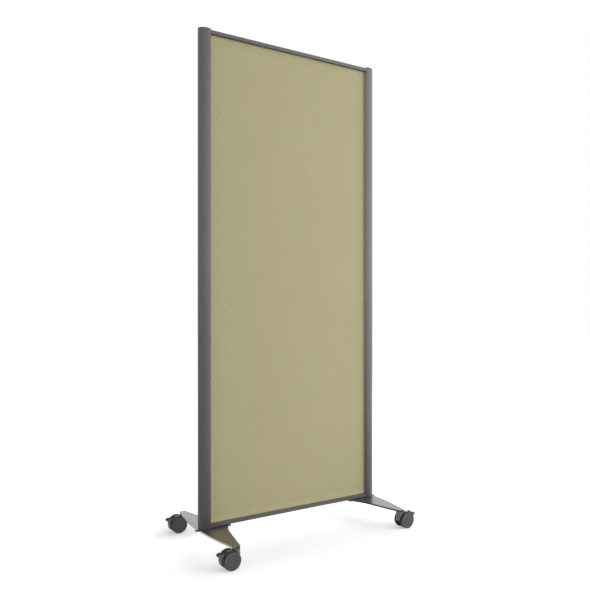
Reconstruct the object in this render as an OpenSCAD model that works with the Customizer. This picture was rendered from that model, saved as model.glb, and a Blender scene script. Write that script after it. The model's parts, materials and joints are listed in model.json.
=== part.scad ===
// Rolling partition: a fabric panel in an aluminium frame, on two flared foot plates
// with four hooded twin-wheel casters. X runs along the panel, +Y is the rear side,
// and Z = 0 is the floor under the middle of the panel.

/* [Overall] */
// Width over the two posts
overall_w = 762; // [560:1:1200]
// Height from the floor to the top of the end caps
overall_h = 1778; // [1000:1:2200]

/* [Posts] */
// Post size along the panel
post_w = 39.5; // [37:0.5:41]
// Post size from front to rear
post_d = 40; // [38:0.5:46]
// Width of the whole oval that the post's section is cut from
post_oval_w = 55; // [53:1:70]
// Wall of the post extrusion
post_wall = 2.2; // [1.6:0.1:2.6]
// Thickness of the end cap
cap_t = 3; // [2:0.5:6]
// Rounding of the end cap's top edge
cap_round = 0.5; // [0.3:0.1:1.5]
// Length of the end cap's pegs
cap_peg_l = 8; // [4:0.5:12]

/* [Rails] */
// Height of the top and bottom rail
rail_h = 12.5; // [12:0.5:24]
// Depth of the rails, front to back
rail_d = 32; // [30:0.5:34]
// Radius of the rails' outer long edges
rail_edge_r = 1.5; // [0.5:0.5:3]
// Wall of the rail extrusion
rail_wall = 1.8; // [1.5:0.1:2.5]

/* [Panel] */
// Thickness of the panel board
board_t = 6; // [4:0.5:8]
// Thickness of the fabric layer on each side
fabric_t = 1; // [0.5:0.1:1.5]
// Depth of the groove that holds the panel edge, in posts and rails
groove_depth = 7; // [5:0.5:7.5]
// Clearance between the panel and each groove wall
panel_fit = 0.3; // [0.1:0.1:0.6]
// Gap between the panel edge and the floor of the side and top grooves
panel_edge_gap = 1; // [0.5:0.5:2]

/* [Corner blocks] */
// Length of a corner block's legs inside the rail
leg_l = 45; // [20:1:80]
// Clearance round the legs and the block
block_fit = 0.3; // [0.2:0.1:0.5]
// Size of the block along the panel
block_w = 26; // [24:0.5:27]
// Depth of the block, front to back
block_d = 30; // [28:0.5:31]

/* [Feet] */
// Distance from the panel's middle plane to the end of a foot plate
foot_reach = 220; // [180:1:300]
// Thickness of the foot plate
plate_t = 6; // [4:0.5:10]
// Height of the foot plate's underside above the floor
plate_z = 63.5; // [62:0.5:70]
// How far the middle of the plate's outer edge passes the post
plate_proud = 0.5; // [0:0.5:6]
// Width of a foot plate's round tip
tip_w = 26; // [25:0.5:32]
// Lean of the plate's inner edge, sideways per length
inner_lean = 0.238; // [0.18:0.001:0.26]
// Distance from the panel's middle plane to where the flare begins
flare_y = 85; // [60:1:110]
// Radius of the flare between inner edge and tongue
flare_r = 240; // [180:5:300]
// Length of the tongue under the rail, from the post's outer face to its end
tongue_l = 119; // [112:1:150]
// Width of the tongue
tongue_w = 24; // [20:0.5:30]
// How far the tab on the plate's outer edge stands past the post
tab_proud = 11; // [4:0.5:20]
// Width of the tab
tab_w = 12; // [8:0.5:20]
// Thickness of the foot bar, the spacer between plate and rail
bar_t = 2; // [1:0.5:6]
// Diameter of the foot bolts
bolt_d = 6; // [4:0.5:8]
// Diameter of the foot bolts' heads
bolt_head_d = 11; // [9:0.5:13]
// Height of the foot bolts' heads
bolt_head_h = 3.3; // [2.5:0.1:5]
// Width across flats of the bolts' hexagon sockets
bolt_socket = 4; // [3:0.5:5]
// Clearance round a bolt shank
bolt_fit = 0.3; // [0.1:0.1:0.5]

/* [Caster] */
// Wheel diameter over the tyre
wheel_d = 60; // [50:1:60]
// Width of one wheel
wheel_w = 12; // [10:0.5:15]
// Width of the hood between the wheels
hood_w = 15; // [14:0.5:17]
// Gap between a wheel and the hood
wheel_gap = 2; // [0.5:0.1:2.2]
// Distance from the swivel axis back to the wheel axis
trail = 22.5; // [20:0.5:25]
// Distance from the post's outer face in to the swivel axis
stem_inset = 36; // [34:0.5:42]
// Thickness of the tyre
tyre_t = 2.5; // [2:0.5:4]
// Rounding of the tyre's two shoulders
tyre_round = 1.2; // [0.5:0.1:1.5]
// Wall of the moulded hood
hood_wall = 2.2; // [1.8:0.1:2.6]
// How much smaller the hood's radius is than the wheel's
hood_inset = 1; // [0.6:0.1:2]
// Distance from the wheel axis back to the hood's upright rear wall
hood_reach = 33; // [31.5:0.5:34]
// Height of the hood's open lip at the front of the neck, above the wheel axis
lip_front_z = 1; // [-2:0.5:4]
// Depth of the hood's open lip under the wheel axis
lip_low_z = 20; // [16:0.5:22]
// Depth of the hood's open lip at the rear, below the wheel axis
lip_rear_z = 11; // [8:0.5:13]
// Diameter of the neck
neck_d = 26; // [22:0.5:26]
// Diameter of the swivel stem
stem_d = 10; // [8:0.5:10]
// Diameter of the stem's flange
flange_d = 20; // [16:0.5:22]
// Thickness of the stem's flange
flange_t = 1.2; // [1:0.1:1.6]
// Diameter of the wheel axle
axle_d = 8; // [6:0.5:9]
// Wall of the bosses that the axle and the wheel hubs need
boss_wall = 3; // [2:0.5:4]
// Radial running clearance of stem, axle and pin
run_fit = 0.05; // [0.02:0.01:0.08]
// End play between parts that turn on each other
end_play = 0.3; // [0.2:0.1:0.5]
// Number of ribs inside each wheel
wheel_ribs = 6; // [3:1:10]
// Thickness of the wheel's ribs
rib_t = 1.6; // [1.2:0.1:2.4]
// Thickness of the wheel's closed outer disc
disc_t = 2; // [1.5:0.1:3]

/* [Brake pedal] */
// Travel of the pedal from released to locked, in degrees
pedal_travel = 15; // [12:0.5:16]
// Diameter of the pedal's pivot pin
pin_d = 4; // [3:0.5:4.5]
// Pivot position behind the wheel axis
pivot_x = 13; // [12:0.5:14]
// Pivot position above the wheel axis
pivot_z = 16; // [15:0.5:17]
// Distance from the wheel axis to the end of the pedal
pedal_reach = 42; // [41:0.5:44]
// Width of each of the pedal's two lobes
lobe_w = 5; // [3.5:0.5:7]
// Diameter of the lobes, seen from the side
lobe_d = 15; // [13:0.5:15.5]
// Height of the lobes' middle above the wheel axis
lobe_z = 18.5; // [18:0.5:20]
// Thickness of the pedal's lever
lever_t = 5; // [4:0.5:6]
// Slope of the lobes' top, in degrees
pedal_slope = 25; // [15:1:30]

/* [Hidden] */
$fn = 64;
eps = 0.01;
far = 1000;
oval_steps = 44;
outer_steps = 36;
tip_steps = 16;
flare_steps = 14;

oval_r = post_oval_w / 2;
post_x = overall_w / 2 - post_w / 2;
post_in_x = overall_w / 2 - post_w;
plate_top = plate_z + plate_t;
frame_z = plate_top + bar_t;
cap_z = overall_h - cap_t;
groove_w = board_t + 2 * fabric_t + 2 * panel_fit;

panel_w = 2 * (post_in_x + groove_depth - panel_edge_gap);
panel_z = frame_z + rail_h - groove_depth;
panel_h = cap_z - rail_h + groove_depth - panel_edge_gap - panel_z;

leg_in_y = groove_w / 2 + post_wall + block_fit;
leg_w = rail_d / 2 - rail_wall - block_fit - leg_in_y;
leg_h = rail_h - 2 * rail_wall - block_fit;
block_out_x = overall_w / 2 - post_wall - block_fit;
block_bolt_in = [6.5, 20];
block_bolt_x = [for (d = block_bolt_in) block_out_x - d];
rail_bolt_in = [22, 54];
rail_bolt_x = [for (d = rail_bolt_in) post_in_x - d];
thread_gap = 3;
tongue_x = overall_w / 2 - tongue_l;

tip_r = tip_w / 2;
stem_x = overall_w / 2 - stem_inset;
stem_y = foot_reach - tip_r;

wheel_r = wheel_d / 2;
rim_r = wheel_r - tyre_t;
face_inset = 0.6;
hub_r = axle_d / 2 + boss_wall;
wheel_in_y = hood_w / 2 + wheel_gap;
hood_r = wheel_r - hood_inset;
cavity_w = hood_w - 2 * hood_wall;
neck_top = plate_z - flange_t - end_play;
socket_low = wheel_r + 12;
ring_t = 1.6;
ring_r = stem_d / 2 + 1.4;
ring_bite = 1;
ring_z = socket_low - end_play - ring_t;
stem_low = ring_z - 2.4;
stem_chamfer = 0.8;
wheel_clear = 0.6;
shoe_clear = 0.3;
neck_hollow = max(ring_r + end_play, wheel_in_y - wheel_clear - hood_wall);
pin_pos = [trail + pivot_x, wheel_r + pivot_z];
lever_z = pin_pos.y - 1;
lever_w = cavity_w - 2 * end_play;
rear_wall_top = pivot_z - 7;
lobe_in_y = hood_w / 2 + wheel_clear;
lobe_pos = [trail + pedal_reach - lobe_d / 2, wheel_r + lobe_z];
lobe_edge = 2;
barrel_wall = 2;

SIDES = [["left", -1], ["right", 1]];
CORNERS = [
    ["front_left", -1, -1], ["front_right", 1, -1],
    ["rear_left", -1, 1], ["rear_right", 1, 1]
];
FRAME_NODES = [
    "top_rail", "bottom_rail", "panel_board", "front_fabric", "rear_fabric",
    "corner_blocks", "foot_bolts", "stem_rings"
];
SIDE_PARTS = ["post", "end_cap", "foot_bar", "foot_plate"];
CASTER_PARTS = [
    "stem", "hood", "axle", "outer_wheel", "outer_tyre", "inner_wheel", "inner_tyre",
    "brake_pedal", "pedal_pin"
];

// Points of an arc round c, from angle a0 to angle a1; first = 1 leaves out the starting point
function arc(c, r, a0, a1, steps, first = 0) =
    [for (i = [first : steps]) c + r * [cos(a0 + (a1 - a0) * i / steps), sin(a0 + (a1 - a0) * i / steps)]];
function mirror_y(points) = [for (i = [len(points) - 1 : -1 : 0]) [points[i].x, -points[i].y]];

// ---------- post ----------

// Post outline, centred on the post: an oval with a flat cut on its inner side
module post_outline(inset = 0) {
    oval_x = post_w / 2 - oval_r;
    rx = oval_r - inset;
    ry = post_d / 2 - inset;
    cut = acos((oval_r - post_w + inset) / rx);
    angles = [for (i = [0 : oval_steps]) cut * (2 * i / oval_steps - 1)];
    polygon([for (a = angles) [oval_x + rx * cos(a), ry * sin(a)]]);
}

// Post section: a hollow shell with a groove for the panel edge in its inner face
module post_section() {
    difference() {
        post_outline();
        difference() {
            post_outline(post_wall);
            translate([-post_w / 2, -groove_w / 2 - post_wall])
                square([groove_depth + post_wall, groove_w + 2 * post_wall]);
        }
        translate([-post_w / 2 - eps, -groove_w / 2]) square([groove_depth + eps, groove_w]);
    }
}

// Two slots through the inner wall at a post's end, for the legs of a corner block
module leg_slots(h) {
    for (s = [-1, 1])
        translate([-post_w / 2 - eps, s * (leg_in_y + leg_w / 2) - leg_w / 2 - block_fit, -eps])
            cube([post_wall + 2 * eps, leg_w + 2 * block_fit, h + eps]);
}

module post() {
    slot_h = rail_h - rail_wall;
    color("dimgray") difference() {
        translate([0, 0, plate_top]) linear_extrude(cap_z - plate_top) post_section();
        translate([0, 0, plate_top]) leg_slots(bar_t + slot_h);
        translate([0, 0, cap_z]) mirror([0, 0, 1]) leg_slots(slot_h);
    }
}

// End cap: a plate with the post's outline and a rounded top edge, on two pegs
module end_cap() {
    color("#3c3c3c") {
        translate([0, 0, cap_z]) hull() {
            linear_extrude(cap_t - cap_round) post_outline();
            linear_extrude(cap_t - cap_round * 0.5) post_outline(cap_round * 0.15);
            linear_extrude(cap_t - cap_round * 0.15) post_outline(cap_round * 0.5);
            linear_extrude(cap_t) post_outline(cap_round);
        }
        for (x = block_bolt_x)
            translate([x - post_x, 0, cap_z - cap_peg_l]) cylinder(d = bolt_d, h = cap_peg_l + cap_t / 2);
    }
}

// ---------- rails ----------

// Rail section in Y and Z: the panel groove opens upward at z = rail_h
module rail_section() {
    difference() {
        union() {
            translate([-rail_d / 2, rail_edge_r]) square([rail_d, rail_h - rail_edge_r]);
            translate([-rail_d / 2 + rail_edge_r, 0]) square([rail_d - 2 * rail_edge_r, rail_h]);
            for (s = [-1, 1])
                translate([s * (rail_d / 2 - rail_edge_r), rail_edge_r]) circle(r = rail_edge_r);
        }
        translate([-groove_w / 2, rail_h - groove_depth]) square([groove_w, groove_depth + eps]);
        for (s = [-1, 1])
            translate([s * (groove_w / 2 + rail_d / 2) / 2, rail_h / 2])
                square([rail_d / 2 - groove_w / 2 - 2 * rail_wall, rail_h - 2 * rail_wall], center = true);
    }
}

module rail() {
    rotate([90, 0, 90]) linear_extrude(2 * post_in_x, center = true) rail_section();
}

module bottom_rail() {
    color("#605e58") difference() {
        translate([0, 0, frame_z]) rail();
        for (s = [-1, 1]) for (x = rail_bolt_x)
            translate([s * x, 0, frame_z - eps]) cylinder(d = bolt_d + 2 * bolt_fit, h = rail_h);
    }
}

module top_rail() {
    color("#6b6a66") translate([0, 0, cap_z]) mirror([0, 0, 1]) rail();
}

// ---------- panel ----------

module panel_board() {
    color("#b8a888") translate([-panel_w / 2, -board_t / 2, panel_z]) cube([panel_w, board_t, panel_h]);
}

// Fabric on one face of the board, from edge to edge inside the grooves
module fabric(side) {
    color("#b3ab89") translate([0, side * (board_t / 2 + fabric_t / 2), panel_z + panel_h / 2])
        cube([panel_w, fabric_t, panel_h], center = true);
}

// ---------- joints of the frame ----------

// Corner block of the right post: a body in the post, from z = -drop, and two legs into the rail
module corner_block(drop) {
    difference() {
        union() {
            translate([0, 0, -drop]) intersection() {
                translate([block_out_x - block_w, -block_d / 2, 0]) cube([block_w, block_d, rail_h + drop]);
                translate([post_x, 0, 0]) linear_extrude(rail_h + drop) post_outline(post_wall + block_fit);
            }
            for (s = [-1, 1])
                translate([post_in_x - leg_l, s * (leg_in_y + leg_w / 2) - leg_w / 2, rail_wall])
                    cube([block_out_x - block_w / 2 - post_in_x + leg_l, leg_w, leg_h]);
        }
        for (x = block_bolt_x)
            translate([x, 0, -drop - eps]) cylinder(d = bolt_d + 2 * run_fit, h = rail_h + drop + 2 * eps);
    }
}

module corner_blocks() {
    color("silver") for (s = [0, 1]) mirror([s, 0, 0]) {
        translate([0, 0, frame_z]) corner_block(bar_t);
        translate([0, 0, cap_z]) mirror([0, 0, 1]) corner_block(0);
    }
}

// Button-head bolt with its head under z = 0 and its shank upward
module bolt(l) {
    difference() {
        union() {
            translate([0, 0, -eps]) cylinder(d = bolt_d, h = l + eps);
            rotate([180, 0, 0]) intersection() {
                cylinder(d = bolt_head_d, h = bolt_head_h);
                translate([0, 0, bolt_head_h - bolt_head_d]) sphere(r = bolt_head_d, $fn = 96);
            }
        }
        translate([0, 0, -bolt_head_h - eps])
            cylinder(d = bolt_socket / cos(30), h = bolt_head_h * 0.7, $fn = 6);
    }
}

module foot_bolts() {
    post_bolt_l = plate_t + bar_t + rail_h - thread_gap;
    rail_bolt_l = plate_t + bar_t + rail_h - groove_depth - 1;
    color("#2b2b2b") for (s = [-1, 1]) {
        for (x = block_bolt_x) translate([s * x, 0, plate_z]) bolt(post_bolt_l);
        for (x = rail_bolt_x) translate([s * x, 0, plate_z]) bolt(rail_bolt_l);
    }
}

module bolt_holes(places, z0, h) {
    for (x = places) translate([x, 0, z0 - eps]) cylinder(d = bolt_d + 2 * bolt_fit, h = h + 2 * eps);
}

// ---------- feet (right side; the left one is its mirror image) ----------

// Foot bar: spacer that fills the step between plate and rail, from the post to the tongue's end
module foot_bar() {
    color("#3a3a38") difference() {
        translate([tongue_x, -tongue_w / 2, plate_top]) cube([post_in_x - tongue_x, tongue_w, bar_t]);
        bolt_holes(rail_bolt_x, plate_top, bar_t);
    }
}

// Plan of the foot plate: a large arc outside, round tips, and a leaning edge with a flare inside
module foot_outline() {
    outer_x = overall_w / 2 + plate_proud;
    out = outer_x - stem_x;
    outer_r = (pow(out, 2) + pow(stem_y, 2) - pow(tip_r, 2)) / (2 * (out - tip_r));
    outer_turn = atan(stem_y / (outer_r - out));
    lean = atan(inner_lean);
    flare_x = stem_x - tip_r / cos(lean) + inner_lean * (flare_y - stem_y);
    flare_c = [flare_x - flare_r * cos(lean), flare_y + flare_r * sin(lean)];
    flare_end = -asin((flare_c.y - tongue_w / 2) / flare_r);
    inner = concat(
        arc([stem_x, stem_y], tip_r, outer_turn, 180 - lean, tip_steps, 1),
        arc(flare_c, flare_r, -lean, flare_end, flare_steps),
        [[tongue_x, tongue_w / 2]]
    );
    outer = arc([outer_x - outer_r, 0], outer_r, -outer_turn, outer_turn, outer_steps);
    polygon(concat(outer, inner, mirror_y(inner)));
    translate([outer_x - tab_w, -tab_w / 2]) square([tab_w - plate_proud + tab_proud, tab_w]);
}

module foot_plate() {
    color("#7d7b74") difference() {
        translate([0, 0, plate_z]) linear_extrude(plate_t) foot_outline();
        bolt_holes(concat(block_bolt_x, rail_bolt_x), plate_z, plate_t);
        for (s = [-1, 1]) translate([stem_x, s * stem_y, plate_z - eps])
            cylinder(d = stem_d + 2 * run_fit, h = plate_t + 2 * eps);
    }
}

// ---------- caster, swivel axis on Z, wheels trailing toward +X ----------

// Stem: thread in the plate, flange under it, and a journal with a ring groove
module stem() {
    color("silver") rotate_extrude() difference() {
        union() {
            translate([0, stem_low]) square([stem_d / 2 - stem_chamfer, plate_top - stem_low]);
            translate([0, stem_low + stem_chamfer])
                square([stem_d / 2, plate_top - stem_low - stem_chamfer]);
            translate([0, plate_z - flange_t]) square([flange_d / 2, flange_t]);
        }
        translate([stem_d / 2 - ring_bite, ring_z]) square([2 * ring_bite, ring_t]);
    }
}

// Split ring in the stem's groove, just under the hood's socket
module stem_ring() {
    slit_w = stem_d - 4;
    translate([0, 0, ring_z]) difference() {
        cylinder(r = ring_r, h = ring_t);
        translate([0, 0, -eps]) cylinder(r = stem_d / 2 - ring_bite, h = ring_t + 2 * eps);
        translate([-ring_r - eps, -slit_w / 2, -eps]) cube([ring_r, slit_w, ring_t + 2 * eps]);
    }
}

// Cylinder along Y round the wheel axis
module round_axis(r, w) {
    translate([trail, 0, wheel_r]) rotate([90, 0, 0]) cylinder(r = r, h = w, center = true, $fn = 128);
}

// Cylinder along Y round the pedal's pivot
module round_pivot(r, w) {
    translate([pin_pos.x, 0, pin_pos.y]) rotate([90, 0, 0]) cylinder(r = r, h = w, center = true);
}

// Side view of the hood in X and Z: a disc round the wheel axis and an upright rear wall
module hood_profile(inset, w) {
    round_axis(hood_r - inset, w);
    translate([trail, -w / 2, wheel_r - wheel_r / 2])
        cube([hood_reach - inset, w, wheel_r / 2 + rear_wall_top - inset]);
}

// Everything below the hood's open lip, which is lowest under the wheel axis
module below_lip() {
    front = [-neck_d / 2, wheel_r + lip_front_z];
    low = [trail, wheel_r - lip_low_z];
    rear = [trail + hood_reach, wheel_r - lip_rear_z];
    start = front + (front - low) / 4;
    end = rear + (rear - low) / 4;
    translate([0, far / 2, 0]) rotate([90, 0, 0]) linear_extrude(far)
        polygon([start, low, end, [end.x, -far], [start.x, -far]]);
}

// Room that the two wheels take on both sides of the hood
module wheel_room() {
    for (s = [-1, 1]) translate([0, s * (wheel_in_y - wheel_clear + wheel_w), 0])
        round_axis(wheel_r + wheel_clear, 2 * wheel_w);
}

// Neck under the plate, cut back where the wheels turn beside it
module neck() {
    difference() {
        cylinder(d = neck_d, h = neck_top);
        wheel_room();
    }
}

// Outer form and inner hollow of the hood, open along the slanted lower lip
module hood_shell() {
    difference() {
        union() {
            hood_profile(0, hood_w);
            neck();
        }
        difference() {
            union() {
                hood_profile(hood_wall, cavity_w);
                intersection() {
                    cylinder(d = neck_d - 2 * hood_wall, h = neck_top);
                    translate([-neck_d, -neck_hollow, 0]) cube([2 * neck_d, 2 * neck_hollow, neck_top]);
                }
            }
            translate([0, 0, socket_low]) cylinder(d = neck_d, h = far);
        }
        below_lip();
    }
}

// Hood: moulding between the wheels, with socket, axle boss, rib, pin holes and pedal window
module hood() {
    rib_h = hood_r - 8;
    color("#55544f") difference() {
        union() {
            hood_shell();
            round_axis(hub_r, hood_w);
            translate([trail / 2, -hood_wall / 2, wheel_r]) cube([hood_wall, hood_wall, rib_h]);
        }
        translate([0, 0, socket_low - far]) cylinder(r = stem_d / 2 + run_fit, h = 2 * far);
        round_axis(axle_d / 2 + run_fit / 2, 2 * hood_w);
        round_pivot(pin_d / 2 + run_fit / 2, 2 * hood_w);
        pedal_window();
    }
}

// Window in the hood's rear wall that the pedal's lever passes through
module pedal_window() {
    low = rear_wall_top + 1.5;
    high = pivot_z + 8;
    translate([trail, cavity_w / 2, wheel_r]) rotate([90, 0, 0]) linear_extrude(cavity_w)
        polygon([
            [pivot_x + 5, low], [hood_reach + 2, low], [hood_reach + 2, high],
            [pivot_x + 1, high + 6], [pivot_x - 5, high]
        ]);
}

module axle() {
    half_l = wheel_in_y + wheel_w - disc_t - 1;
    color("silver") round_axis(axle_d / 2, 2 * half_l);
}

// Places a wheel part on the side +1 or -1 of the hood, its inner face at z = 0
module on_wheel_side(side) {
    translate([trail, side * wheel_in_y, wheel_r]) rotate([-side * 90, 0, 0]) children();
}

// Wheel: closed disc on the outer side, ribbed and open on the inner side
module wheel(side) {
    rim_t = 2.4;
    disc_y = wheel_w - disc_t - face_inset;
    color("#535351") on_wheel_side(side) difference() {
        union() {
            rotate_extrude($fn = 96) {
                translate([0, disc_y]) square([rim_r - rim_t / 2, disc_t]);
                translate([rim_r - rim_t, face_inset]) square([rim_t, wheel_w - 2 * face_inset]);
                translate([rim_r - 1.5 * rim_t, disc_y]) square([1.5 * rim_t, disc_t + face_inset]);
                translate([0, end_play - wheel_gap])
                    square([hub_r, disc_y + disc_t / 2 - end_play + wheel_gap]);
            }
            for (i = [0 : wheel_ribs - 1]) rotate([0, 0, i * 360 / wheel_ribs])
                translate([hub_r - 1, -rib_t / 2, 2])
                    cube([rim_r - rim_t / 2 - hub_r + 1, rib_t, disc_y - 1]);
        }
        translate([0, 0, -wheel_gap]) cylinder(r = axle_d / 2 + run_fit, h = wheel_gap + wheel_w - disc_t);
    }
}

// Tyre: ring with rounded shoulders, seated on the wheel's rim
module tyre(side) {
    color("#232323") on_wheel_side(side) rotate_extrude($fn = 96) {
        translate([rim_r, 0]) square([tyre_t - tyre_round, wheel_w]);
        translate([rim_r, tyre_round]) square([tyre_t, wheel_w - 2 * tyre_round]);
        for (y = [tyre_round, wheel_w - tyre_round])
            translate([wheel_r - tyre_round, y]) circle(r = tyre_round, $fn = 32);
    }
}

// Brake pedal: barrel on the pin, lever out through the window, and a crossbar with two
// lobes beside the hood, whose undersides meet the treads when the pedal is down
module brake_pedal() {
    bar_w = lobe_d / 2;
    tread_w = 2 * (wheel_w + wheel_gap);
    color("#2e2e2c") difference() {
        union() {
            round_pivot(pin_d / 2 + barrel_wall, lever_w);
            translate([pin_pos.x, -lever_w / 2, lever_z])
                cube([lobe_pos.x + bar_w / 2 - pin_pos.x, lever_w, lever_t]);
            translate([lobe_pos.x - bar_w / 2, -lobe_in_y - 1, lever_z])
                cube([bar_w, 2 * lobe_in_y + 2, lever_t]);
            for (s = [-1, 1])
                translate([lobe_pos.x, s * (lobe_in_y + lobe_w / 2), lobe_pos.y]) rotate([90, 0, 0])
                    cylinder(d = lobe_d, h = lobe_w, center = true);
        }
        round_pivot(pin_d / 2 + run_fit, lever_w + 2);
        translate([trail + pedal_reach, -far / 2, lobe_pos.y + lobe_edge]) rotate([0, pedal_slope, 0])
            translate([-wheel_d, 0, 0]) cube([2 * wheel_d, far, wheel_d]);
        for (s = [-1, 1]) translate([0, s * (wheel_in_y + wheel_w), 0]) {
            round_axis(wheel_r + 2 * shoe_clear, tread_w);
            translate([pin_pos.x, 0, pin_pos.y]) rotate([0, -pedal_travel, 0])
                translate([-pin_pos.x, 0, -pin_pos.y]) round_axis(wheel_r + shoe_clear, tread_w);
        }
    }
}

module pedal_pin() {
    color("silver") round_pivot(pin_d / 2, hood_w);
}

// Puts a caster part under the tip of a foot plate, trailing away from the panel
module at_corner(side_x, side_y) {
    translate([side_x * stem_x, side_y * stem_y, 0]) rotate([0, 0, side_x > 0 ? 0 : 180]) children();
}

module stem_rings() {
    color("silver") for (c = CORNERS) at_corner(c[1], c[2]) stem_ring();
}

// The outer wheel is the one farther from the panel's middle plane
module caster_part(name, turn) {
    if (name == "stem") stem();
    if (name == "hood") hood();
    if (name == "axle") axle();
    if (name == "outer_wheel") wheel(turn);
    if (name == "outer_tyre") tyre(turn);
    if (name == "inner_wheel") wheel(-turn);
    if (name == "inner_tyre") tyre(-turn);
    if (name == "brake_pedal") brake_pedal();
    if (name == "pedal_pin") pedal_pin();
}

module side_part(name) {
    if (name == "post") translate([post_x, 0, 0]) post();
    if (name == "end_cap") translate([post_x, 0, 0]) end_cap();
    if (name == "foot_bar") foot_bar();
    if (name == "foot_plate") foot_plate();
}

top_rail();
bottom_rail();
panel_board();
fabric(-1);  // front_fabric
fabric(1);  // rear_fabric
corner_blocks();
foot_bolts();
stem_rings();
for (s = SIDES) for (p = SIDE_PARTS)
    mirror([s[1] < 0 ? 1 : 0, 0, 0]) side_part(p);
for (c = CORNERS) for (p = CASTER_PARTS)
    at_corner(c[1], c[2]) caster_part(p, c[1] * c[2]);
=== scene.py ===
"""Rolling partition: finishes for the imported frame, stretched cloth, light and camera."""
import json
import math

import bpy
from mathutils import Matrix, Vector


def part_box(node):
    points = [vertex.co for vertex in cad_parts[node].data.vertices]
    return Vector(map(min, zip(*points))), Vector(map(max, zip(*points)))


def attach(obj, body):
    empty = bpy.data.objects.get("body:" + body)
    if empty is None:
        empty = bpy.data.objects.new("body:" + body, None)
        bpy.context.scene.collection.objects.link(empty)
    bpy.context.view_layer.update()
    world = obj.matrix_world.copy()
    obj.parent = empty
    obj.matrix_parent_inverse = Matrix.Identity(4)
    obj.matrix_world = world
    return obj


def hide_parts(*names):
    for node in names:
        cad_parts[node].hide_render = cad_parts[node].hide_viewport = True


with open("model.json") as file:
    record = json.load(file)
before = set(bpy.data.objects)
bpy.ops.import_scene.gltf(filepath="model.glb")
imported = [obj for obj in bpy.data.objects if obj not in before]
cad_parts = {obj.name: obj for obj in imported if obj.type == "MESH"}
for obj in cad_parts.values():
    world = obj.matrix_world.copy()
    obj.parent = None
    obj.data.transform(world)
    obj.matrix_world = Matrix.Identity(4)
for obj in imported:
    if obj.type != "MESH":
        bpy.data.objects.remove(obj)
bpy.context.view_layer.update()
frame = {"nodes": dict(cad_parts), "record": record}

nodes = frame["nodes"]

# Lengths are in metres, scales of noises in periods per metre, and colours in linear light.
# A window holds the two values between which a blend or a factor runs from start to end.
AXIS_X, AXIS_Z = 0, 2
AXES = range(3)
FULL = 1.0
WHITE = (1.0, 1.0, 1.0, 1.0)

# ---------------------------------------------------------------- camera
IMAGE_SIZE = 590.0
FOCAL_PX = 669.6
HORIZON_ROW = 304.66
SENSOR_MM = 36.0
CAMERA_PLACE = (-1.3498, -2.0907, 0.8346)
CAMERA_YAW_DEG = 33.10
LEVEL_DEG = 90


def make_camera():
    """A level camera: the vertical shift puts the horizon in its row."""
    data = bpy.data.cameras.new("camera")
    data.sensor_width = SENSOR_MM
    data.lens = FOCAL_PX / IMAGE_SIZE * SENSOR_MM
    data.shift_y = (HORIZON_ROW - IMAGE_SIZE / 2) / IMAGE_SIZE
    camera = bpy.data.objects.new("camera", data)
    camera.location = CAMERA_PLACE
    camera.rotation_euler = (math.radians(LEVEL_DEG), 0, math.radians(-CAMERA_YAW_DEG))
    bpy.context.scene.collection.objects.link(camera)
    bpy.context.scene.camera = camera


# ---------------------------------------------------------------- node trees
# The sockets of a Mix node for colours: factor, first and second colour, and result
MIX_INPUTS = (0, 6, 7)
MIX_RESULT = 2


class Nodes:
    """A node tree, with short calls for the nodes that it needs."""

    def __init__(self, tree):
        self.tree = tree

    def add(self, kind, **options):
        made = self.tree.nodes.new("ShaderNode" + kind)
        for key, value in options.items():
            setattr(made, key, value)
        return made

    def link(self, source, target):
        self.tree.links.new(source, target)

    def fill(self, socket, value):
        """Gives a socket a number, a colour or a link."""
        if isinstance(value, tuple):
            socket.default_value = (*value, 1.0)
        elif isinstance(value, (int, float)):
            socket.default_value = value
        else:
            self.link(value, socket)

    def math(self, operation, a, b=0.0, clamp=False):
        made = self.add("Math", operation=operation, use_clamp=clamp)
        self.fill(made.inputs[0], a)
        self.fill(made.inputs[1], b)
        return made.outputs[0]

    def shown(self):
        """1 on rays that show a thing itself, in a reflection or through glass, and 0 on others."""
        path = self.add("LightPath").outputs
        seen = self.math("MAXIMUM", path["Is Camera Ray"], path["Is Glossy Ray"])
        return self.math("MAXIMUM", seen, path["Is Transmission Ray"])


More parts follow.
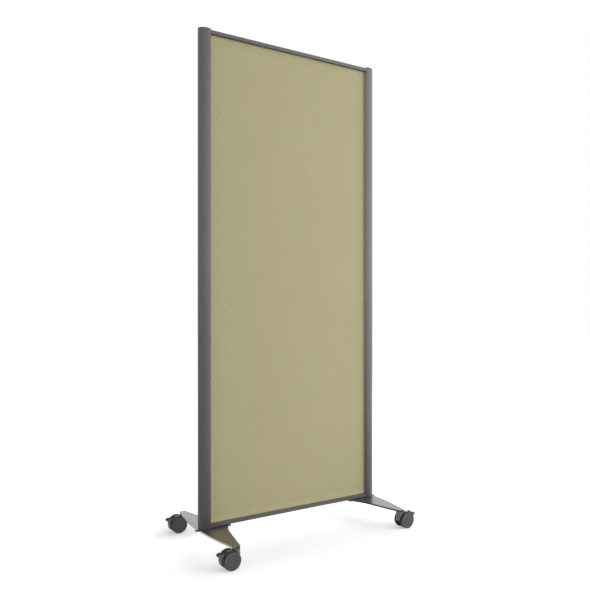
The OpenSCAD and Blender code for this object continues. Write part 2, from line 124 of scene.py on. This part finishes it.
class Shader(Nodes):
    """A material's node tree round its surface shader."""

    def __init__(self, name):
        self.material = bpy.data.materials.new(name)
        self.material.use_nodes = True
        super().__init__(self.material.node_tree)
        self.surface = self.tree.nodes["Principled BSDF"]
        self.place = self.add("TexCoord").outputs["Object"]

    def set(self, **sockets):
        """Sets constant sockets of the surface shader, named as in Blender with _ for a space."""
        for key, value in sockets.items():
            self.surface.inputs[key.replace("_", " ")].default_value = value

    def axes(self, vector):
        """The X, Y and Z of a vector."""
        made = self.add("SeparateXYZ")
        self.link(vector, made.inputs[0])
        return made.outputs

    def facing(self):
        """The X, Y and Z of the direction that a face looks in."""
        return self.axes(self.add("NewGeometry").outputs["Normal"])

    def outward(self, facing, place):
        """1 on faces that look away from the panel's middle along X, and -1 toward it."""
        return self.math("MULTIPLY", facing["X"], self.math("SIGN", place["X"]))

    def stretched(self, scale):
        made = self.add("Mapping")
        made.inputs["Scale"].default_value = scale
        self.link(self.place, made.inputs["Vector"])
        return made.outputs[0]

    def noise(self, scale, detail=3.0, rough=0.5, place=None):
        made = self.add("TexNoise")
        made.inputs["Scale"].default_value = scale
        made.inputs["Detail"].default_value = detail
        made.inputs["Roughness"].default_value = rough
        self.link(place or self.place, made.inputs["Vector"])
        return made.outputs["Fac"]

    def stretched_noise(self, scale, detail, rough):
        """A noise with a scale of its own along each axis."""
        return self.noise(1.0, detail, rough, self.stretched(scale))

    def spread(self, value, low, high, window=(0.0, 1.0)):
        """Runs from low to high while the value crosses the window."""
        made = self.add("MapRange")
        made.inputs["From Min"].default_value = window[0]
        made.inputs["From Max"].default_value = window[1]
        made.inputs["To Min"].default_value = low
        made.inputs["To Max"].default_value = high
        self.link(value, made.inputs["Value"])
        return made.outputs["Result"]

    def distance(self, place, centre):
        made = self.add("VectorMath", operation="DISTANCE")
        made.inputs[1].default_value = centre
        self.link(place, made.inputs[0])
        return made.outputs["Value"]

    def blend(self, factor, a, b, mode="MIX"):
        made = self.add("Mix", data_type="RGBA", blend_type=mode)
        for socket, value in zip(MIX_INPUTS, (factor, a, b)):
            self.fill(made.inputs[socket], value)
        return made.outputs[MIX_RESULT]

    def times(self, color, *factors):
        """A colour multiplied by each factor in turn."""
        for factor in factors:
            color = self.blend(FULL, color, factor, "MULTIPLY")
        return color

    def bump(self, height, distance, strength, under=None):
        made = self.add("Bump")
        made.inputs["Distance"].default_value = distance
        made.inputs["Strength"].default_value = strength
        self.link(height, made.inputs["Height"])
        if under is not None:
            self.link(under, made.inputs["Normal"])
        return made.outputs["Normal"]

    def finish(self, color, rough, normal=None):
        self.link(color, self.surface.inputs["Base Color"])
        self.link(rough, self.surface.inputs["Roughness"])
        if normal is not None:
            self.link(normal, self.surface.inputs["Normal"])
        return self.material


BLUE_LOSS = 1.6


def grey(level, warm=0.0):
    """A linear grey: warm raises its red and lowers its blue."""
    return (level * (1 + warm), level, level * (1 - BLUE_LOSS * warm))


# ---------------------------------------------------------------- finishes
CLOUD_WINDOW = (0.35, 0.65)
FLOW_WINDOW = (0.3, 0.7)
GRAIN_WINDOW = (0.45, 0.75)
FLAKE_WINDOW = (0.5, 0.75)
EDGE_WINDOW = (0.52, 0.60)
PITS_WINDOW = (0.55, 0.8)
SMEAR_WINDOW = (0.4, 0.7)

CLOUD_SCALE = 9.0
EXTRUSION_CLOUD_SCALE = 7.0
GRAIN_SCALE = 2600.0
FLAKE_SCALE = 3200.0
PEEL_SCALE = 900.0
SCUFF_SCALE = 240.0
FLOW_SCALE = 60.0
SPARK_SCALE = 1400.0
PITS_SCALE = 1900.0
SMEAR_SCALE = 90.0
BLOOM_SCALE = 300.0
SKIN_SCALE = 500.0
CHIPS_SCALE = 420.0
DIE_ALONG, DIE_ACROSS = 3.0, 900.0
TURNING_SCALE = (60.0, 60.0, 2600.0)

GRAIN_GAIN = 1.5
DUST_SHARE = 0.8
COAT_IOR = 1.5


def cloudy(s, noise, window, base, swing, warm=(0.0, 0.0)):
    """A grey that swings round base with a coarse noise, from the first warmth to the second."""
    dark, light = grey(base * (1 - swing), warm[0]), grey(base * (1 + swing), warm[1])
    return s.blend(s.spread(noise, 0.0, 1.0, window), dark, light)


def grainy(s, color, noise, window, base, share, warm=0.0):
    """Grains that are paler than base, laid over a colour at up to a share of their own."""
    return s.blend(s.spread(noise, 0.0, share, window), color, grey(base * GRAIN_GAIN, warm))


def mottled(s, noise, base, dark, light, warm=(0.0, 0.0)):
    """A grey that runs with a noise from dark times base to light times base."""
    return s.blend(noise, grey(base * dark, warm[0]), grey(base * light, warm[1]))


def scuffed(s, color, worn, warm):
    """A colour with its outer edges worn toward another, broken up by noise."""
    pointy = s.add("NewGeometry").outputs["Pointiness"]
    edge = s.spread(pointy, 0.0, 1.0, EDGE_WINDOW)
    exposed = s.math("MULTIPLY", edge, s.noise(SCUFF_SCALE, detail=4.0, rough=0.6), clamp=True)
    return s.blend(exposed, color, grey(worn, warm))


def uneven(s, middle, coarse, fine, coarse_swing, fine_swing):
    """A roughness that swings round its middle with a coarse and a fine noise."""
    swung = s.spread(coarse, middle - coarse_swing, middle + coarse_swing)
    return s.math("ADD", swung, s.spread(fine, -fine_swing, fine_swing))


def powder_coat(name, base, worn, rough):
    """Powder coat on metal: fine orange peel, faint cloudiness and polish along the edges."""
    s = Shader(name)
    cloud = s.noise(CLOUD_SCALE, detail=4.0, rough=0.55)
    grain = s.noise(GRAIN_SCALE, detail=2.0, rough=0.6)
    peel = s.noise(PEEL_SCALE)
    color = cloudy(s, cloud, CLOUD_WINDOW, base, swing=0.07, warm=(0.01, 0.02))
    color = grainy(s, color, grain, GRAIN_WINDOW, base, share=0.25, warm=0.02)
    color = scuffed(s, color, worn, warm=0.02)
    roughness = uneven(s, rough, cloud, peel, coarse_swing=0.04, fine_swing=0.03)
    s.set(IOR=COAT_IOR)
    return s.finish(color, roughness, s.bump(peel, distance=0.00006, strength=0.5))


# Painted light and shade on the extrusions: heights over which a painted shade lifts from the floor
# up, faces that look inward, which get painted light, faces that look down, which get painted
# shade, and the factors of a painted light that rises from the left end to the right end, with
# their places.
FLOOR_SHADE_WINDOW = (0.2, 1.0)
INWARD_WINDOW = (-1.0, -0.9)
DOWNWARD_WINDOW = (-1.0, -0.8)
UNDERSIDE_SHARE = 0.5
RIGHTWARD_PAINTED_LIGHT = (0.95, 1.36)
RIGHTWARD_PAINTED_LIGHT_WINDOW = (-0.37, 0.37)


def extruded_coat(name, base, worn, rough, along, foot, inner=1.0):
    """Powder coat on an extrusion, with faint die lines along it.

    Its colour falls to foot times its own near the floor, and to half of that on undersides, as
    painted shade. Inward faces have inner times the colour, and the right end is paler than the
    left, as painted light.
    """
    s = Shader(name)
    cloud = s.noise(EXTRUSION_CLOUD_SCALE, detail=4.0, rough=0.55)
    grain = s.noise(GRAIN_SCALE, detail=2.0, rough=0.6)
    peel = s.noise(PEEL_SCALE)
    die_scale = tuple(DIE_ALONG if axis == along else DIE_ACROSS for axis in AXES)
    lines = s.stretched_noise(die_scale, detail=3.0, rough=0.6)
    color = cloudy(s, cloud, CLOUD_WINDOW, base, swing=0.06, warm=(0.025, 0.035))
    color = grainy(s, color, grain, GRAIN_WINDOW, base, share=0.2, warm=0.02)
    color = scuffed(s, color, worn, warm=0.02)
    place, facing = s.axes(s.place), s.facing()
    # Painted shade near the floor and on undersides, painted light on inward faces and toward the
    # right end
    painted_light_and_shade = s.spread(place["Z"], foot, 1.0, FLOOR_SHADE_WINDOW)
    for factor in (
        s.spread(s.outward(facing, place), inner, 1.0, INWARD_WINDOW),
        s.spread(facing["Z"], foot * UNDERSIDE_SHARE, 1.0, DOWNWARD_WINDOW),
        s.spread(place["X"], *RIGHTWARD_PAINTED_LIGHT, RIGHTWARD_PAINTED_LIGHT_WINDOW),
    ):
        painted_light_and_shade = s.math("MULTIPLY", painted_light_and_shade, factor)
    roughness = uneven(s, rough, cloud, lines, coarse_swing=0.03, fine_swing=0.04)
    peeled = s.bump(peel, distance=0.00005, strength=0.5)
    s.set(IOR=COAT_IOR)
    return s.finish(
        s.times(color, painted_light_and_shade), roughness, s.bump(lines, distance=0.00002, strength=0.5, under=peeled)
    )


# How far up or down a face of the plate looks to count as level, and how far outward a cut side
# looks to keep the coat's own colour; the other cut sides get a painted shade
LEVEL_FACE = 0.5
OUTER_SIDE_WINDOW = (0.5, 0.8)


def metallic_coat(name, base, rough, side):
    """Metallic coat on a cut plate: flake glints, and a darker grey on the inner cut sides as
    painted shade.
    """
    s = Shader(name)
    cloud = s.noise(CLOUD_SCALE, detail=4.0, rough=0.55)
    flake = s.noise(FLAKE_SCALE, detail=2.0, rough=0.7)
    peel = s.noise(PEEL_SCALE)
    color = cloudy(s, cloud, CLOUD_WINDOW, base, swing=0.05)
    color = grainy(s, color, flake, FLAKE_WINDOW, base, share=0.3)
    place, facing = s.axes(s.place), s.facing()
    level = s.math("GREATER_THAN", s.math("ABSOLUTE", facing["Z"]), LEVEL_FACE)
    outer_side = s.spread(s.outward(facing, place), 0.0, 1.0, OUTER_SIDE_WINDOW)
    # Painted shade: cut sides that don't look outward take the darker side grey
    color = s.blend(s.math("MAXIMUM", level, outer_side), grey(side), color)
    roughness = uneven(s, rough, cloud, peel, coarse_swing=0.03, fine_swing=0.03)
    s.set(Metallic=FULL)
    return s.finish(color, roughness, s.bump(peel, distance=0.00006, strength=0.5))


def moulded_plastic(name, base, worn, rough):
    """Moulded nylon: spark-eroded grain, slight flow marks and scuffed edges."""
    s = Shader(name)
    flow = s.noise(FLOW_SCALE, detail=3.0, rough=0.6)
    grain = s.noise(SPARK_SCALE, detail=3.0, rough=0.6)
    color = cloudy(s, flow, FLOW_WINDOW, base, swing=0.1, warm=(0.01, 0.01))
    color = scuffed(s, color, worn, warm=0.01)
    roughness = uneven(s, rough, flow, grain, coarse_swing=0.05, fine_swing=0.05)
    return s.finish(color, roughness, s.bump(grain, distance=0.00005, strength=0.6))


def rubber(name, base, dust):
    """Soft tread: matt, finely pitted, with floor dust caught in the pits."""
    s = Shader(name)
    pits = s.noise(PITS_SCALE, detail=4.0, rough=0.7)
    smear = s.noise(SMEAR_SCALE)
    in_pits = s.spread(pits, 0.0, DUST_SHARE, PITS_WINDOW)
    dusty = s.math("MULTIPLY", in_pits, s.spread(smear, 0.0, 1.0, SMEAR_WINDOW), clamp=True)
    color = s.blend(dusty, grey(base), grey(dust, warm=0.05))
    roughness = s.spread(smear, low=0.55, high=0.75)
    return s.finish(color, roughness, s.bump(pits, distance=0.00008, strength=0.5))


def bare_steel(name, base, rough):
    """Zinc-plated or blackened steel, with turning lines as on an upright stem or bolt."""
    s = Shader(name)
    lines = s.stretched_noise(TURNING_SCALE, detail=2.0, rough=0.5)
    bloom = s.noise(BLOOM_SCALE, detail=4.0, rough=0.6)
    color = mottled(s, bloom, base, dark=0.88, light=1.08, warm=(0.01, 0.03))
    roughness = uneven(s, rough, bloom, lines, coarse_swing=0.06, fine_swing=0.05)
    s.set(Metallic=FULL)
    return s.finish(color, roughness, s.bump(lines, distance=0.00002, strength=0.4))


def die_cast(name, base):
    """Die-cast zinc with a mottled skin."""
    s = Shader(name)
    skin = s.noise(SKIN_SCALE, detail=4.0, rough=0.6)
    color = mottled(s, skin, base, dark=0.85, light=1.1)
    roughness = s.spread(skin, low=0.45, high=0.65)
    s.set(Metallic=FULL)
    return s.finish(color, roughness, s.bump(skin, distance=0.0001, strength=0.5))


def fibreboard(name, dark, light):
    """Raw fibreboard: dark and light chips."""
    s = Shader(name)
    chips = s.noise(CHIPS_SCALE, detail=5.0, rough=0.7)
    color = s.blend(chips, dark, light)
    roughness = s.spread(chips, low=0.75, high=0.95)
    return s.finish(color, roughness, s.bump(chips, distance=0.0002, strength=0.5))


# The weave repeats every 5.24 mm across and 5.9 mm up, in a chequer of over and under yarns.
# A faint diamond motif, three repeats wide, lies over it and fades from left to right.
WEAVE_ACROSS = 0.00524
WEAVE_UP = 0.0059
YARN_MEAN = (0.423, 0.382, 0.224)
YARN_CONTRAST = 0.55
OVER_WINDOW = (-0.75, 0.75)
MOTIF_ACROSS = 3 * WEAVE_ACROSS
MOTIF_UP = 1.5 * WEAVE_UP
MOTIF_CONTRAST = (0.34, 0.04)
MOTIF_FADE = (-0.35, 0.30)
# Painted light: the cloth is made paler toward the right post and the bottom rail, to lift the
# shade that the frame casts there.
RIGHT_PAINTED_LIGHT, RIGHT_PAINTED_LIGHT_WINDOW = 1.5, (0.3195, 0.3415)
LOW_PAINTED_LIGHT, LOW_PAINTED_LIGHT_WINDOW = 1.28, (0.108, 0.084)
WARP_SCALE = (2600.0, 1.0, 500.0)
WEFT_SCALE = (500.0, 1.0, 2600.0)
HEATHER_SCALE = (200.0, 1.0, 170.0)
CLOTH_CLOUD_SCALE = 6.0
# Factors of the colour, from the lowest to the highest value of the noise behind them
WARP_GAIN = (0.9, 1.1)
WEFT_GAIN = (0.88, 1.1)
HEATHER_GAIN = (0.94, 1.06)
CLOTH_CLOUD_GAIN = (0.97, 1.03)
SINE_WINDOW = (-1.0, 1.0)
HEATHER_RELIEF = 0.15


def woven_cloth(name):
    """Basket weave of flat yarns: over and under cells, twist, heather and a faint motif."""
    s = Shader(name)
    place = s.axes(s.place)

    def chequer(width, height):
        across = s.math("MULTIPLY", place["X"], 2 * math.pi / width)
        up = s.math("MULTIPLY", place["Z"], 2 * math.pi / height)
        return s.math("MULTIPLY", s.math("SINE", across), s.math("SINE", up))

    wave = chequer(WEAVE_ACROSS, WEAVE_UP)
    motif = chequer(MOTIF_ACROSS, MOTIF_UP)
    over = s.spread(wave, 0.0, 1.0, OVER_WINDOW)

    warp_twist = s.stretched_noise(WARP_SCALE, detail=3.0, rough=0.6)
    weft_twist = s.stretched_noise(WEFT_SCALE, detail=3.0, rough=0.6)
    heather = s.stretched_noise(HEATHER_SCALE, detail=2.0, rough=0.7)
    cloud = s.noise(CLOTH_CLOUD_SCALE)

    dark = tuple(c * (1 - YARN_CONTRAST) for c in YARN_MEAN)
    light = tuple(c * (1 + YARN_CONTRAST) for c in YARN_MEAN)
    twist = s.blend(over, s.spread(weft_twist, *WEFT_GAIN), s.spread(warp_twist, *WARP_GAIN))
    contrast = s.spread(place["X"], *MOTIF_CONTRAST, MOTIF_FADE)
    color = s.times(
        s.blend(over, dark, light),
        twist,
        s.spread(heather, *HEATHER_GAIN),
        s.spread(cloud, *CLOTH_CLOUD_GAIN),
        s.math("ADD", s.math("MULTIPLY", motif, contrast), 1.0),
        # Painted light toward the right post and the bottom rail
        s.spread(place["X"], 1.0, RIGHT_PAINTED_LIGHT, RIGHT_PAINTED_LIGHT_WINDOW),
        s.spread(place["Z"], 1.0, LOW_PAINTED_LIGHT, LOW_PAINTED_LIGHT_WINDOW),
    )

    relief = s.spread(wave, 0.0, 1.0, SINE_WINDOW)
    height = s.math("ADD", relief, s.spread(heather, 0.0, HEATHER_RELIEF))
    roughness = s.spread(heather, low=0.8, high=0.95)
    s.set(Sheen_Weight=0.15, Sheen_Roughness=0.5)
    return s.finish(color, roughness, s.bump(height, distance=0.0005, strength=0.6))


def make_finishes():
    """One material for each slot in the record."""
    return {
        # Posts: foot sets a painted shade near the floor, inner a painted light on inward faces
        "post": extruded_coat(
            "charcoal_post", base=0.088, worn=0.16, rough=0.31, along=AXIS_Z, foot=0.44, inner=2.0
        ),
        # Rails: foot sets a painted shade near the floor and on undersides
        "rail": extruded_coat(
            "charcoal_rail", base=0.076, worn=0.15, rough=0.24, along=AXIS_X, foot=0.68
        ),
        "cap": moulded_plastic("cap_plastic", base=0.085, worn=0.16, rough=0.42),
        "bar": powder_coat("charcoal_bar", base=0.045, worn=0.16, rough=0.36),
        # side: the grey of the painted shade on the plate's inner cut sides
        "plate": metallic_coat("metallic_plate", base=0.335, rough=0.32, side=0.055),
        "board": fibreboard("board_fibre", dark=(0.30, 0.20, 0.11), light=(0.52, 0.38, 0.23)),
        "fabric": woven_cloth("woven_cloth"),
        "block": die_cast("block_zinc", base=0.42),
        "bolt": bare_steel("black_steel", base=0.05, rough=0.38),
        "steel": bare_steel("zinc_steel", base=0.45, rough=0.32),
        "hood": moulded_plastic("hood_nylon", base=0.090, worn=0.17, rough=0.44),
        "wheel": moulded_plastic("wheel_nylon", base=0.058, worn=0.14, rough=0.46),
        "tyre": rubber("tread_rubber", base=0.018, dust=0.10),
        "pedal": moulded_plastic("pedal_nylon", base=0.045, worn=0.14, rough=0.38),
    }


def dress(finishes):
    """Gives every node of the frame its slot's finish."""
    for row in frame["record"]["subparts"]:
        mesh = nodes[row["node"]].data
        mesh.materials.clear()
        mesh.materials.append(finishes[row["material_slot"]])


# ---------------------------------------------------------------- cloth
CLOTH_T = 0.0009
CLOTH_CELLS = (72, 176)
CLOTH_CROWN = 0.00022
EDGE_SINK = 0.010
WAVE_HEIGHT = 0.00006
WAVE_ACROSS = 31
WAVE_UP, WAVE_PHASE = 17, 0.7
BEND, BEND_UP = 1.3, 9


def cloth_wave(x, z):
    """The slack left in stretched cloth: long low waves whose crests wander."""
    across = math.sin(x * WAVE_ACROSS + BEND * math.sin(z * BEND_UP))
    return WAVE_HEIGHT * across * math.sin(z * WAVE_UP + WAVE_PHASE)


def make_cloth(node, board, side, material):
    """Cloth stretched over one face of the board: a slight crown that sinks toward the edges."""
    low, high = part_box(node)
    _, board_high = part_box(board)
    face = board_high[1]
    columns, rows = CLOTH_CELLS
    verts = []
    for j in range(rows + 1):
        z = low[2] + (high[2] - low[2]) * j / rows
        for i in range(columns + 1):
            x = low[0] + (high[0] - low[0]) * i / columns
            inward = min(x - low[0], high[0] - x, z - low[2], high[2] - z)
            crown = CLOTH_CROWN * (1 - math.exp(-inward / EDGE_SINK))
            verts.append((x, side * (face + CLOTH_T + crown + cloth_wave(x, z)), z))
    faces = []
    for j in range(rows):
        for i in range(columns):
            a = j * (columns + 1) + i
            quad = (a, a + 1, a + columns + 2, a + columns + 1)
            faces.append(quad if side < 0 else quad[::-1])
    mesh = bpy.data.meshes.new(node + "_cloth")
    mesh.from_pydata(verts, [], faces)
    mesh.materials.append(material)
    for polygon in mesh.polygons:
        polygon.use_smooth = True
    cloth = bpy.data.objects.new(node + "_cloth", mesh)
    bpy.context.scene.collection.objects.link(cloth)
    thick = cloth.modifiers.new("thickness", "SOLIDIFY")
    thick.thickness = CLOTH_T
    thick.offset = -1
    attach(cloth, "frame")
    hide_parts(node)


# ---------------------------------------------------------------- studio
FLOOR_HALF = 14.0
FLOOR_COLOR, FLOOR_SWING = 0.82, 0.01
PAPER_SCALE = 40.0
SKY_LIGHT = 0.42
SKY_WHITE = 1.0
# Painted shadow: the floor's glow is least in a band under and before the panel and round each
# caster, which darkens the floor there and also lets its real shadows show, and it rises to its
# full strength over a window of distances. GLOW_SHAPE draws the band out along X.
SHADOW_BAND_GLOW, SHADOW_BAND_WINDOW = (0.39, 0.72), (0.06, 0.32)
GLOW_SHAPE = (0.27, 1.0, 1.0)
GLOW_CENTRE = (0.0, -0.19, 0.0)
GLOW_TINT = (0.985, 0.985, 1.03, 1.0)
CASTER_SHADOW_GLOW, CASTER_SHADOW_WINDOW = (0.42, 0.72), (0.03, 0.12)
CASTER_PLACE = (0.367, 0.207, 0.0)
# Each lamp: name, place, target, side in metres and power in watts
LAMPS = (
    ("front_box", (3.2, -2.85, 1.5), (0, 0, 0.9), 3.8, 169),
    ("left_box", (-4.2, -1.4, 0.6), (0, 0, 0.7), 2.0, 24),
    ("right_box", (3.8, 0.5, 1.5), (0, 0, 0.9), 2.6, 50),
)


def make_floor():
    """White paper that keeps the shadows and glows only where it is itself seen, with a painted
    shadow where the glow is lowered.
    """
    mesh = bpy.data.meshes.new("floor")
    h = FLOOR_HALF
    mesh.from_pydata([(-h, -h, 0), (h, -h, 0), (h, h, 0), (-h, h, 0)], [], [(0, 1, 2, 3)])
    floor = bpy.data.objects.new("floor", mesh)
    bpy.context.scene.collection.objects.link(floor)
    s = Shader("floor_paper")
    paper = s.noise(PAPER_SCALE)
    color = s.blend(paper, grey(FLOOR_COLOR - FLOOR_SWING), grey(FLOOR_COLOR + FLOOR_SWING))
    s.finish(color, s.spread(paper, low=0.9, high=1.0))
    s.set(Specular_IOR_Level=0.0)
    corner = s.add("VectorMath", operation="ABSOLUTE")
    s.link(s.place, corner.inputs[0])
    from_shadow_band = s.distance(s.stretched(GLOW_SHAPE), GLOW_CENTRE)
    from_caster_shadow = s.distance(corner.outputs["Vector"], CASTER_PLACE)
    # Painted shadow: a lower glow in the band and round each caster
    level = s.math(
        "MINIMUM",
        s.spread(from_shadow_band, *SHADOW_BAND_GLOW, SHADOW_BAND_WINDOW),
        s.spread(from_caster_shadow, *CASTER_SHADOW_GLOW, CASTER_SHADOW_WINDOW),
    )
    glow = s.add("Emission")
    glow.inputs["Color"].default_value = GLOW_TINT
    s.link(s.math("MULTIPLY", s.shown(), level), glow.inputs["Strength"])
    both = s.add("AddShader")
    s.link(s.surface.outputs[0], both.inputs[0])
    s.link(glow.outputs[0], both.inputs[1])
    s.link(both.outputs[0], s.tree.nodes["Material Output"].inputs["Surface"])
    mesh.materials.append(s.material)


def make_world():
    """Even sky light on the object, and plain white where the sky itself is seen."""
    world = bpy.data.worlds.new("studio")
    bpy.context.scene.world = world
    world.use_nodes = True
    s = Nodes(world.node_tree)
    light = s.tree.nodes["Background"]
    white = s.add("Background")
    for shade, strength in ((light, SKY_LIGHT), (white, SKY_WHITE)):
        shade.inputs["Color"].default_value = WHITE
        shade.inputs["Strength"].default_value = strength
    mixed = s.add("MixShader")
    for socket, source in zip(mixed.inputs, (s.shown(), light.outputs[0], white.outputs[0])):
        s.link(source, socket)
    s.link(mixed.outputs[0], s.tree.nodes["World Output"].inputs["Surface"])


def make_lamp(name, place, target, size, power):
    """A softbox for the diffuse light; reflections see the plain white world instead."""
    data = bpy.data.lights.new(name, "AREA")
    data.shape = "SQUARE"
    data.size = size
    data.energy = power
    lamp = bpy.data.objects.new(name, data)
    lamp.location = place
    away = [t - p for t, p in zip(target, place)]
    tilt = math.atan2(math.hypot(away[0], away[1]), -away[2])
    lamp.rotation_euler = (tilt, 0, math.atan2(away[1], away[0]) - math.pi / 2)
    lamp.visible_glossy = False
    bpy.context.scene.collection.objects.link(lamp)


make_camera()
finishes = make_finishes()
dress(finishes)
for node, side in (("front_fabric", -1), ("rear_fabric", 1)):
    make_cloth(node, "panel_board", side, finishes["fabric"])
make_floor()
make_world()
for lamp in LAMPS:
    make_lamp(*lamp)
bpy.context.scene.view_settings.view_transform = "Standard"
